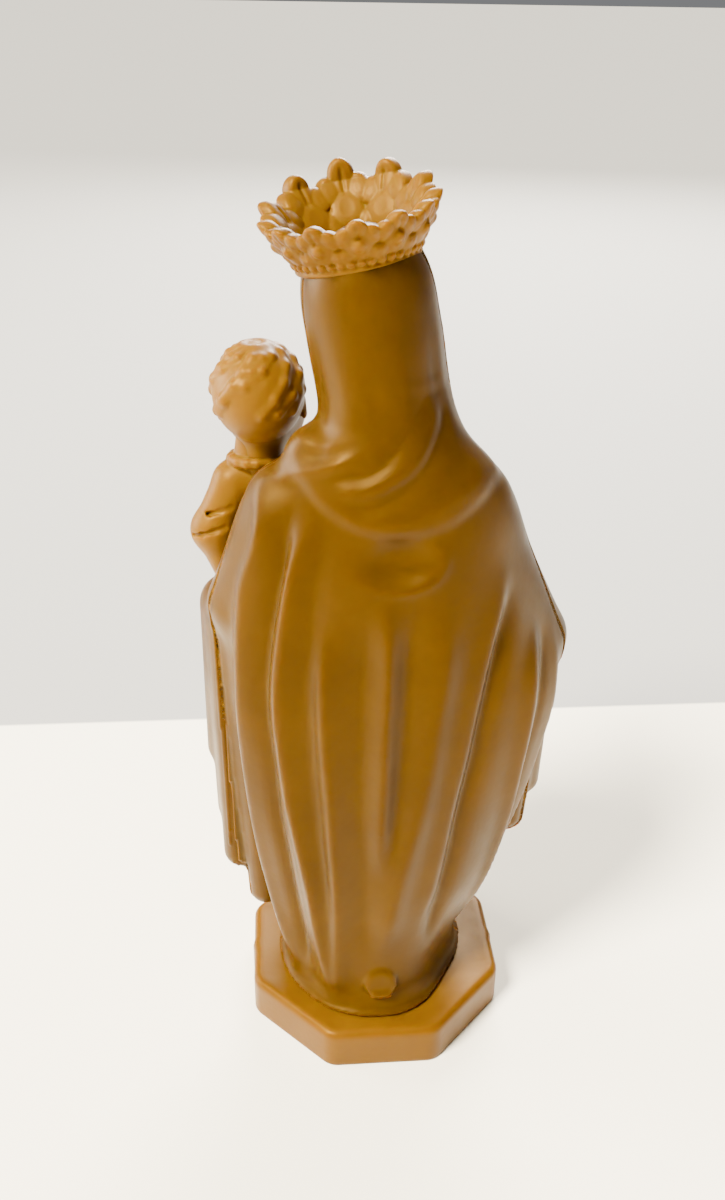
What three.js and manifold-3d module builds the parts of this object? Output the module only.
// A small moulded-plastic statuette of a crowned Madonna who carries the Child on her left arm.
// The hollow figure is a back shell and a front shell that meet on the plane Y = 0. A crown, the Child's
// body and head, and the two hands are mouldings of their own, seated on the shells with a small gap.
// The figure's open foot drops through the deck of an eight-sided plinth, which a flat cover closes below.
// Millimetres, +Z up. The origin is the middle of the plinth's underside. The figure faces -Y.

import * as THREE from "three";
import { mergeVertices } from "three/addons/utils/BufferGeometryUtils.js";
import Module from "manifold-3d";

const wasm = await Module();
wasm.setup();

// Driving dimensions.
const GAP = 0.3; // between neighbouring mouldings
const FAR = 120; // reaches past the whole figure
const FINE = 8; // a rod with more sides than this has finely rounded ends
const ALONG_Y = new THREE.Vector3(0, 1, 0); // a turned form's own axis, and the one the head leans about
const WALL = 1.8; // of the hollow figure
const CAVITY = { top: 63, sideWall: 2.8 }; // the sides are thicker, where the arms and falls join
const PLINTH = { flats: 27, height: 4.7, corner: 2.2, bevel: 0.5, wall: 1.9, deck: 1.6 };
const COVER_THICKNESS = 1.2;
const FOOT = { radius: 7.2, bottom: 2.0 }; // the figure's round spigot in the plinth's deck
const HEM = 5.0; // height of the mantle's hem

// The draped figure's outline: its reach to her left, her right, her back and her front at each height.
const FIGURE = [
  { z: HEM, left: 10.3, right: 9.7, back: 11.3, front: 9.2 },
  { z: 7, left: 9.9, right: 9.2, back: 10.6, front: 8.8 },
  { z: 13, left: 10.9, right: 10.7, back: 10.3, front: 8.8 },
  { z: 22, left: 12.4, right: 13.7, back: 10.1, front: 8.8 },
  { z: 32, left: 13.7, right: 16.3, back: 9.9, front: 8.8 },
  { z: 41, left: 14.6, right: 17.5, back: 9.4, front: 8.6 },
  { z: 48, left: 14.5, right: 15.1, back: 8.9, front: 8.0 },
  { z: 54, left: 13.6, right: 13.1, back: 8.4, front: 7.2 },
  { z: 59, left: 12.0, right: 11.8, back: 7.6, front: 6.0 },
  { z: 62.5, left: 9.4, right: 9.8, back: 6.8, front: 4.6 },
  { z: 66, left: 6.3, right: 6.5, back: 6.0, front: 4.0 },
  { z: 69, left: 4.8, right: 4.6, back: 5.2, front: 3.4 },
];
const SQUARENESS = 2.1; // of the outline in plan: 2 is an ellipse

// The mantle's upright folds over her back. Each follows a curve over three directions, in degrees from
// her back towards her left, from its lower to its upper end. It stands out, or in where it is negative.
const MANTLE_FOLDS = [
  { turns: [60, 77, 72], from: 7, to: 60, rise: 0.95, width: 1.2 },
  { turns: [48, 66, 60], from: 9, to: 59, rise: -0.8, width: 0.9 },
  { turns: [31, 56, 51], from: 7, to: 58, rise: 0.9, width: 1.1 },
  { turns: [30, 43, 41], from: 9, to: 57, rise: -0.6, width: 0.8 },
  { turns: [25, 29, 36], from: 8, to: 49, rise: 0.6, width: 1.1 },
  { turns: [3, 2, 2], from: 25, to: 52, rise: 0.75, width: 1.1 },
  { turns: [-3, -11, -15], from: 26, to: 52, rise: -0.5, width: 0.9 },
  { turns: [0, -21, -31], from: 14, to: 51, rise: 0.75, width: 1.6 },
  { turns: [-29, -40, -64], from: 14, to: 53, rise: -0.95, width: 0.9 },
  { turns: [-62, -65, -76], from: 13, to: 47, rise: 0.6, width: 1.0 },
];
const FOLD_RADIUS = 11.5; // where a fold's width is measured
const FOLD_FADE = 4; // over which a fold dies away at its ends
const FRONT = { starts: 1.75, whole: 2.1 }; // radians from her back, where the robe takes over
const ROBE_FOLDS = { count: 14, depth: 0.4, top: 46, fade: 8 }; // ripples over the front below the waist
const SWAG_SINK = 0.72; // share of the swag's radius that lies inside the mantle
const SWAG = [
  { x: -9.4, z: 62.2, radius: 1.5 },
  { x: -6.6, z: 60.9, radius: 1.9 },
  { x: -2.6, z: 59.9, radius: 2.2 },
  { x: 2.4, z: 60.0, radius: 2.1 },
  { x: 6.0, z: 61.3, radius: 1.7 },
  { x: 8.0, z: 62.8, radius: 1.2 },
];
// The gathered hollow under the swag, and the flattened stud low on her back.
const PIT = { at: new THREE.Vector3(-0.4, 9.0, 56.6), half: new THREE.Vector3(2.4, 1.5, 1.4) };
const STUD = { at: new THREE.Vector3(0.1, 10.2, 8.6), half: new THREE.Vector3(1.8, 1.0, 1.7) };

// The head leans to her left and bows a little. Its own frame starts at the base of the neck.
const NECK = new THREE.Vector3(-0.1, -0.4, 64);
const HEAD_LEAN = THREE.MathUtils.degToRad(9);
const HEAD_BOW = THREE.MathUtils.degToRad(4);
const VEIL = [
  { z: 1, left: 5.7, right: 6.3, back: 6.0, front: 3.6 },
  { z: 6, left: 5.4, right: 6.1, back: 5.9, front: 4.2 },
  { z: 11, left: 5.4, right: 6.1, back: 5.9, front: 5.0 },
  { z: 15, left: 5.0, right: 5.5, back: 5.4, front: 5.0 },
];
const SKULL = { at: new THREE.Vector3(-0.2, -0.3, 13.6), half: new THREE.Vector3(5.1, 5.4, 5.6) };
const FACE = { at: new THREE.Vector3(0, -1.9, 9.6), half: new THREE.Vector3(3.6, 3.9, 5.0) };
const FACE_OPENING = { at: new THREE.Vector3(0, -5.2, 9.4), half: new THREE.Vector3(4.2, 3.6, 5.9) };
const NOSE = { from: new THREE.Vector3(0, -5.3, 10.9), to: new THREE.Vector3(0, -6.1, 9.3), radius: 0.5 };
const BUST = { from: [0, -1.4, 70], to: [0, -2.4, 60], neck: 2.3, chest: 4.6 };
const HEAD_CAVITY = { bottom: 3.3, top: 2.4, from: -4, to: 13 };

const CROWN = {
  seat: 15.9, // above the neck's frame
  foot: 5.1, // outer radius of its band
  flare: 7.1, // outer radius at the points
  wall: 1.0,
  points: 12,
  low: 4.1, // height of the back points
  high: 8.4, // height of the front point
  notch: 0.62, // height between two points, as a share of theirs
  curl: 1.4, // how suddenly it flares
  mostFlare: 1.3, // times the low points' flare, at the tall ones
  lean: THREE.MathUtils.degToRad(1.5),
};

// Arms in wide sleeves, and the mantle's fall from each forearm.
const RIGHT_ARM = [
  { at: [-8.8, 0.2, 58.9], radius: 3.0 },
  { at: [-15.1, -2.0, 43.4], radius: 4.0 },
  { at: [-8.0, -8.6, 48.0], radius: 3.1 },
];
const LEFT_ARM = [
  { at: [9.2, 0.2, 59.2], radius: 3.4 },
  { at: [12.9, -1.2, 48.0], radius: 4.0 },
  { at: [7.4, -7.8, 46.2], radius: 3.0 },
];
const RIGHT_FALL = [
  { z: 22, left: 2.2, right: 2.2, back: 2.4, front: 1.6, x: -13.9, y: -2.4 },
  { z: 30, left: 4.2, right: 3.2, back: 3.2, front: 3.6, x: -13.8, y: -3.0 },
  { z: 39, left: 5.0, right: 3.9, back: 3.8, front: 4.8, x: -13.4, y: -3.4 },
  { z: 44, left: 4.8, right: 4.2, back: 3.6, front: 5.4, x: -13.6, y: -3.6 },
];
const LEFT_FALL = [
  { z: 10, left: 1.8, right: 2.2, back: 2.0, front: 1.6, x: 11.6, y: -2.8 },
  { z: 17, left: 4.0, right: 3.4, back: 3.2, front: 3.2, x: 12.2, y: -3.0 },
  { z: 30, left: 5.1, right: 4.4, back: 3.8, front: 4.6, x: 12.2, y: -3.4 },
  { z: 47, left: 4.4, right: 4.6, back: 3.6, front: 5.2, x: 12.0, y: -3.6 },
];

// The Child sits on her left forearm in a tunic, upright, his legs hanging in front.
const CHILD_TUNIC = [
  { z: 48.6, left: 3.0, right: 3.0, back: 2.6, front: 2.6, x: 10.5, y: -7.4 },
  { z: 51.5, left: 4.1, right: 4.1, back: 3.3, front: 3.8, x: 10.7, y: -7.2 },
  { z: 57, left: 3.8, right: 3.7, back: 3.0, front: 3.2, x: 11.5, y: -6.0 },
  { z: 61.6, left: 2.6, right: 2.6, back: 1.8, front: 1.9, x: 11.9, y: -5.3 },
];
const CHILD_SHOULDERS = [
  { at: [9.6, -5.9, 60.0], radius: 2.0 },
  { at: [14.0, -5.0, 59.8], radius: 2.0 },
];
const CHILD_LEFT_ARM = [
  { at: [14.2, -4.8, 59.7], radius: 2.0 },
  { at: [15.9, -4.2, 54.4], radius: 2.1 },
  { at: [13.4, -9.4, 54.6], radius: 1.5 },
  { at: [12.2, -11.0, 55.4], radius: 1.2 },
];
const CHILD_RIGHT_ARM = [
  { at: [9.4, -6.2, 59.8], radius: 1.9 },
  { at: [7.2, -8.2, 55.6], radius: 1.9 },
  { at: [6.6, -11.2, 58.0], radius: 1.4 },
  { at: [6.5, -12.0, 59.8], radius: 1.1 },
];
const CHILD_RIGHT_LEG = [
  { at: [9.4, -7.6, 50.8], radius: 2.9 },
  { at: [7.6, -11.2, 51.0], radius: 2.5 },
  { at: [7.2, -12.0, 46.2], radius: 1.5 },
  { at: [6.9, -13.2, 45.4], radius: 1.1 },
];
const CHILD_LEFT_LEG = [
  { at: [11.6, -7.6, 50.6], radius: 2.9 },
  { at: [11.6, -11.4, 50.6], radius: 2.5 },
  { at: [11.4, -12.1, 45.6], radius: 1.5 },
  { at: [11.4, -13.3, 44.8], radius: 1.1 },
];
const CHILD_LIMBS = [CHILD_SHOULDERS, CHILD_LEFT_ARM, CHILD_RIGHT_ARM, CHILD_RIGHT_LEG, CHILD_LEFT_LEG];
const CHILD_HEAD = {
  at: new THREE.Vector3(11.4, -5.4, 67.4),
  half: new THREE.Vector3(4.2, 4.5, 4.7),
  neckTo: new THREE.Vector3(11.9, -5.3, 61.0),
  neck: 1.9,
};

// Each hand: the wrist's peg, the palm, and where each finger ends.
const RIGHT_HAND = {
  peg: [-9.6, -6.8, 47.5],
  wrist: [-5.6, -10.2, 49.0],
  palm: [-3.6, -11.2, 49.8],
  tips: [[0.6, -12.4, 51.4], [0.9, -12.7, 50.5], [0.8, -12.7, 49.5], [0.1, -12.4, 48.6]],
  thumb: [-2.0, -11.4, 52.2],
};
const LEFT_HAND = {
  peg: [8.8, -6.4, 46.0],
  wrist: [5.2, -9.9, 45.0],
  palm: [3.7, -10.8, 44.9],
  tips: [[0.4, -12.0, 46.3], [0.1, -12.1, 45.3], [0.2, -11.9, 44.4], [0.9, -11.6, 43.6]],
  thumb: [2.3, -12.2, 46.9],
};
const HAND_SIZES = { wrist: 1.25, palm: 1.5, finger: 0.62, tip: 0.45 };

// A closed three.js geometry as a solid that can be joined and cut.
function solid(geometry) {
  const bare = geometry.index ? geometry.toNonIndexed() : geometry.clone();
  bare.deleteAttribute("normal");
  bare.deleteAttribute("uv");
  const merged = mergeVertices(bare, 1e-4);
  return new wasm.Manifold(
    new wasm.Mesh({
      numProp: 3,
      vertProperties: merged.attributes.position.array,
      triVerts: new Uint32Array(merged.index.array),
    }),
  );
}

function joined(solids) {
  return solids.reduce((all, next) => all.add(next));
}

// A solid as a mesh of flat triangles, which is one node of the object.
function node(name, made, material) {
  const { vertProperties, triVerts, numProp } = made.getMesh();
  const points = new Float32Array(triVerts.length * 3);
  triVerts.forEach((vertex, i) => {
    for (let k = 0; k < 3; k++) points[3 * i + k] = vertProperties[vertex * numProp + k];
  });
  const geometry = new THREE.BufferGeometry();
  geometry.setAttribute("position", new THREE.BufferAttribute(points, 3));
  geometry.computeVertexNormals();
  const mesh = new THREE.Mesh(geometry, material);
  mesh.name = name;
  return mesh;
}

function plastic(color) {
  return new THREE.MeshStandardMaterial({ color, roughness: 0.42, metalness: 0 });
}

// The stations' values at height z, on a smooth curve through them.
function station(stations, z) {
  const last = stations.length - 1;
  let i = 0;
  while (i < last - 1 && z > stations[i + 1].z) i++;
  const [a, b] = [stations[i], stations[i + 1]];
  const before = stations[Math.max(i - 1, 0)];
  const after = stations[Math.min(i + 2, last)];
  const t = THREE.MathUtils.clamp((z - a.z) / (b.z - a.z), 0, 1);
  const value = (key) => {
    const slopeIn = ((b[key] - before[key]) / (b.z - before.z)) * (b.z - a.z);
    const slopeOut = ((after[key] - a[key]) / (after.z - a.z)) * (b.z - a.z);
    return (
      (2 * t ** 3 - 3 * t ** 2 + 1) * a[key] +
      (t ** 3 - 2 * t ** 2 + t) * slopeIn +
      (3 * t ** 2 - 2 * t ** 3) * b[key] +
      (t ** 3 - t ** 2) * slopeOut
    );
  };
  return Object.fromEntries(Object.keys(a).map((key) => [key, value(key)]));
}

// The outline's reach at an angle counted from her back towards her left.
function reach(at, angle) {
  const side = angle > 0 ? at.left : at.right;
  const depth = Math.abs(angle) < Math.PI / 2 ? at.back : at.front;
  const across = (Math.abs(Math.sin(angle)) / side) ** SQUARENESS;
  const along = (Math.abs(Math.cos(angle)) / depth) ** SQUARENESS;
  return (across + along) ** (-1 / SQUARENESS);
}

// A solid of changing outline: a cylinder whose wall is moved out to the stations.
function loft(stations, segments, rings, change = () => 0) {
  const geometry = new THREE.CylinderGeometry(1, 1, 1, segments, rings);
  const position = geometry.attributes.position;
  const [low, high] = [stations[0].z, stations[stations.length - 1].z];
  for (let i = 0; i < position.count; i++) {
    const z = THREE.MathUtils.lerp(low, high, position.getY(i) + 0.5);
    const angle = -Math.atan2(position.getX(i), position.getZ(i));
    const onWall = Math.hypot(position.getX(i), position.getZ(i)) > 0.5;
    const at = station(stations, z);
    const radius = onWall ? reach(at, angle) + change(angle, z) : 0;
    position.setXYZ(
      i,
      (at.x ?? 0) + radius * Math.sin(angle),
      (at.y ?? 0) + radius * Math.cos(angle),
      z,
    );
  }
  return solid(geometry);
}

// One of the mantle's folds: how far it moves the wall at an angle and a height.
function fold({ turns, from, to, rise, width }, angle, z) {
  const { clamp, degToRad, lerp, smoothstep } = THREE.MathUtils;
  const t = clamp((z - from) / (to - from), 0, 1);
  const turn = lerp(lerp(turns[0], turns[1], t), lerp(turns[1], turns[2], t), t);
  const across = (angle - degToRad(turn)) * FOLD_RADIUS;
  const fade = smoothstep(z, from - FOLD_FADE, from) * (1 - smoothstep(z, to - FOLD_FADE, to));
  return rise * Math.exp(-((across / width) ** 2)) * fade;
}

// The mantle's folds over the back, and the robe's over the front below the waist.
function folds(angle, z) {
  const { smoothstep } = THREE.MathUtils;
  const inFront = smoothstep(Math.abs(angle), FRONT.starts, FRONT.whole);
  const back = MANTLE_FOLDS.reduce((sum, each) => sum + fold(each, angle, z), 0);
  const belowWaist = 1 - smoothstep(z, ROBE_FOLDS.top - ROBE_FOLDS.fade, ROBE_FOLDS.top);
  const robe = ROBE_FOLDS.depth * belowWaist * Math.cos(Math.abs(angle) * ROBE_FOLDS.count);
  return (1 - inFront) * back + inFront * robe;
}

// A rounded, tapered rod between two points. Its ends are rounded more finely where it is thick.
function limb(from, to, radiusFrom, radiusTo, around = 12) {
  const [start, end] = [new THREE.Vector3(...from), new THREE.Vector3(...to)];
  const length = start.distanceTo(end);
  const turn = new THREE.Path();
  turn.absarc(0, 0, radiusFrom, -Math.PI / 2, 0);
  turn.absarc(0, length, radiusTo, 0, Math.PI / 2);
  const profile = turn.getPoints(around > FINE ? 2 : 1);
  profile[0].x = 0;
  profile[profile.length - 1].x = 0;
  const geometry = new THREE.LatheGeometry(profile, around);
  const direction = end.clone().sub(start).normalize();
  geometry.applyQuaternion(new THREE.Quaternion().setFromUnitVectors(ALONG_Y, direction));
  geometry.translate(start.x, start.y, start.z);
  return solid(geometry);
}

function chain(joints, grow = 0, around = 12) {
  const rods = joints
    .slice(1)
    .map((next, i) => limb(joints[i].at, next.at, joints[i].radius + grow, next.radius + grow, around));
  return joined(rods);
}

// The roll of cloth that hangs across her back from shoulder to shoulder, half sunk in the mantle.
function swag() {
  const joints = SWAG.map(({ x, z, radius }) => {
    const at = station(FIGURE, z);
    const across = (Math.abs(x) / (x > 0 ? at.left : at.right)) ** SQUARENESS;
    const surface = at.back * (1 - across) ** (1 / SQUARENESS);
    return { at: [x, surface - SWAG_SINK * radius, z], radius };
  });
  return chain(joints, 0, 10);
}

function ellipsoid(at, half, grow = 0, around = 20, up = 12) {
  const geometry = new THREE.SphereGeometry(1, around, up);
  geometry.rotateX(Math.PI / 2);
  geometry.scale(half.x + grow, half.y + grow, half.z + grow);
  geometry.translate(at.x, at.y, at.z);
  return solid(geometry);
}

// From the head's own frame into the figure's.
function onHead(made, extraLean = 0) {
  const turn = new THREE.Quaternion()
    .setFromAxisAngle(ALONG_Y, HEAD_LEAN + extraLean)
    .multiply(new THREE.Quaternion().setFromAxisAngle(new THREE.Vector3(1, 0, 0), HEAD_BOW));
  const matrix = new THREE.Matrix4().compose(NECK, turn, new THREE.Vector3(1, 1, 1));
  return made.transform(matrix.elements);
}

function box(from, to) {
  const size = new THREE.Vector3().subVectors(to, from);
  const geometry = new THREE.BoxGeometry(size.x, size.y, size.z);
  geometry.translate((from.x + to.x) / 2, (from.y + to.y) / 2, (from.z + to.z) / 2);
  return solid(geometry);
}

function rod(radius, bottom, top, segments = 40, topRadius = radius) {
  const geometry = new THREE.CylinderGeometry(topRadius, radius, top - bottom, segments);
  geometry.rotateX(Math.PI / 2);
  geometry.translate(0, 0, (top + bottom) / 2);
  return solid(geometry);
}

// An eight-sided prism with rounded corners, standing on z = bottom.
function octagon(flats, corner, bottom, height, bevel = 0) {
  const apothem = flats / 2 - bevel;
  const corners = Array.from({ length: 8 }, (_, i) => {
    const angle = (i + 0.5) * (Math.PI / 4);
    const radius = apothem / Math.cos(Math.PI / 8);
    return new THREE.Vector2(radius * Math.cos(angle), radius * Math.sin(angle));
  });
  const setBack = corner * Math.tan(Math.PI / 8);
  const shape = new THREE.Shape();
  corners.forEach((point, i) => {
    const before = corners[(i + 7) % 8].clone().sub(point).setLength(setBack).add(point);
    const after = corners[(i + 1) % 8].clone().sub(point).setLength(setBack).add(point);
    if (i) shape.lineTo(before.x, before.y);
    else shape.moveTo(before.x, before.y);
    shape.quadraticCurveTo(point.x, point.y, after.x, after.y);
  });
  const geometry = new THREE.ExtrudeGeometry(shape, {
    depth: height - 2 * bevel,
    bevelEnabled: bevel > 0,
    bevelSize: bevel,
    bevelThickness: bevel,
    bevelSegments: 2,
    curveSegments: 4,
  });
  geometry.translate(0, 0, bottom + bevel);
  return solid(geometry);
}

// Its upper edge is bevelled. Its underside is sharp: the bevelled prism starts lower and is cut at zero.
function plinth() {
  const { flats, height, corner, bevel, wall, deck } = PLINTH;
  const block = octagon(flats, corner, -bevel, height + bevel, bevel);
  const above = box(new THREE.Vector3(-FAR, -FAR, 0), new THREE.Vector3(FAR, FAR, FAR));
  const hollow = octagon(flats - 2 * wall, corner, -1, height - deck + 1);
  const opening = rod(FOOT.radius + GAP, -1, height + 1, 48);
  return block.intersect(above).subtract(hollow).subtract(opening);
}

function plinthCover() {
  return octagon(PLINTH.flats - 2 * PLINTH.wall - 2 * GAP, PLINTH.corner, 0, COVER_THICKNESS);
}

// A flared ring whose upper edge rises into points, the tallest in front.
function crown(grow = 0) {
  const rows = 4;
  const profile = [];
  for (let i = 0; i <= rows; i++) profile.push(new THREE.Vector2(0, i / rows));
  for (let i = rows; i >= 0; i--) profile.push(new THREE.Vector2(1, i / rows));
  profile.push(profile[0].clone());
  const geometry = new THREE.LatheGeometry(profile, CROWN.points * 6);
  const position = geometry.attributes.position;
  const uv = geometry.attributes.uv;
  for (let i = 0; i < position.count; i++) {
    const angle = uv.getX(i) * 2 * Math.PI;
    const { x: outer, y: up } = profile[Math.round(uv.getY(i) * (profile.length - 1))];
    const front = (1 - Math.cos(angle)) / 2;
    const tall = THREE.MathUtils.lerp(CROWN.low, CROWN.high, front ** 2);
    const wave = (1 + Math.cos(angle * CROWN.points)) / 2;
    const height = tall * THREE.MathUtils.lerp(CROWN.notch, 1, wave);
    const flare = Math.min((up * height) / CROWN.low, CROWN.mostFlare);
    const middle = CROWN.foot - CROWN.wall / 2 + (CROWN.flare - CROWN.foot) * flare ** CROWN.curl;
    const radius = middle + (outer - 0.5) * (CROWN.wall + 2 * grow);
    const z = CROWN.seat - grow + up * (height + 2 * grow);
    position.setXYZ(i, radius * Math.sin(angle), radius * Math.cos(angle), z);
  }
  const made = solid(geometry);
  return onHead(made, CROWN.lean);
}

// The tunic's loft with the limbs, all a little larger where they are cut out of a neighbour.
function childBody(grow = 0) {
  const tunic = CHILD_TUNIC.map((at, i) => ({
    ...at,
    z: at.z + (i === CHILD_TUNIC.length - 1 ? grow : i === 0 ? -grow : 0),
    left: at.left + grow,
    right: at.right + grow,
    back: at.back + grow,
    front: at.front + grow,
  }));
  return joined([loft(tunic, 16, 5), ...CHILD_LIMBS.map((joints) => chain(joints, grow, 9))]);
}

function childHead(grow = 0) {
  const { at, half, neckTo, neck } = CHILD_HEAD;
  return ellipsoid(at, half, grow).add(limb(at.toArray(), neckTo.toArray(), neck + grow, neck + grow));
}

function hand(shape, grow = 0) {
  const { wrist, palm, finger, tip } = HAND_SIZES;
  const digits = [...shape.tips, shape.thumb].map((end) =>
    limb(shape.palm, end, finger + grow, tip + grow, 6),
  );
  return joined([
    limb(shape.peg, shape.wrist, wrist + grow, wrist + grow, 8),
    limb(shape.wrist, shape.palm, wrist + grow, palm + grow, 8),
    ...digits,
  ]);
}

// The whole draped figure with its head, as one solid, before it is hollowed and parted.
function figure() {
  const hood = joined([loft(VEIL, 32, 6), ellipsoid(SKULL.at, SKULL.half)]);
  const opened = hood.subtract(ellipsoid(FACE_OPENING.at, FACE_OPENING.half));
  const face = ellipsoid(FACE.at, FACE.half, 0, 16, 10);
  const nose = limb(NOSE.from.toArray(), NOSE.to.toArray(), NOSE.radius * 0.7, NOSE.radius, 8);
  return joined([
    loft(FIGURE, 88, 18, folds),
    onHead(joined([opened, face, nose])),
    limb(BUST.from, BUST.to, BUST.neck, BUST.chest, 16),
    swag(),
    ellipsoid(STUD.at, STUD.half, 0, 16, 8),
    chain(RIGHT_ARM),
    chain(LEFT_ARM),
    loft(RIGHT_FALL, 20, 5),
    loft(LEFT_FALL, 20, 6),
    rod(FOOT.radius, FOOT.bottom, HEM + 1, 48),
  ]).subtract(ellipsoid(PIT.at, PIT.half, 0, 16, 10));
}

function cavity() {
  const trunk = FIGURE.filter(({ z }) => z < CAVITY.top).map((at) => ({
    z: at.z,
    left: at.left - CAVITY.sideWall,
    right: at.right - CAVITY.sideWall,
    back: at.back - WALL,
    front: at.front - WALL,
  }));
  const neck = rod(HEAD_CAVITY.bottom, HEAD_CAVITY.from, HEAD_CAVITY.to, 20, HEAD_CAVITY.top);
  return joined([loft(trunk, 24, 7), onHead(neck), rod(FOOT.radius - WALL, 0, HEM + 2, 36)]);
}

// What the figure has to leave free: its neighbours with a gap all round, and the plinth's deck.
function clearances() {
  const deck = box(new THREE.Vector3(-FAR, -FAR, 0), new THREE.Vector3(FAR, FAR, PLINTH.height + GAP));
  return joined([
    crown(GAP),
    childBody(GAP),
    childHead(GAP),
    hand(RIGHT_HAND, GAP),
    hand(LEFT_HAND, GAP),
    deck.subtract(rod(FOOT.radius, -1, HEM + 1, 48)),
  ]);
}

const shell = figure().subtract(cavity()).subtract(clearances());
const behind = box(new THREE.Vector3(-FAR, GAP / 2, -FAR), new THREE.Vector3(FAR, FAR, FAR));
const before = box(new THREE.Vector3(-FAR, -FAR, -FAR), new THREE.Vector3(FAR, -GAP / 2, FAR));
const child = childBody().subtract(childHead(GAP)).subtract(hand(RIGHT_HAND, GAP));

const statuette = new THREE.Group();
statuette.add(
  node("plinth", plinth(), plastic(0xc07a28)),
  node("plinth_cover", plinthCover(), plastic(0xb06e24)),
  node("back_shell", shell.intersect(behind), plastic(0xb87426)),
  node("front_shell", shell.intersect(before), plastic(0xbd7828)),
  node("crown", crown(), plastic(0xc98534)),
  node("child_body", child, plastic(0xc58032)),
  node("child_head", childHead(), plastic(0xc58032)),
  node("right_hand", hand(RIGHT_HAND), plastic(0xc07c2c)),
  node("left_hand", hand(LEFT_HAND).subtract(childBody(GAP)), plastic(0xc07c2c)),
);

export default statuette;
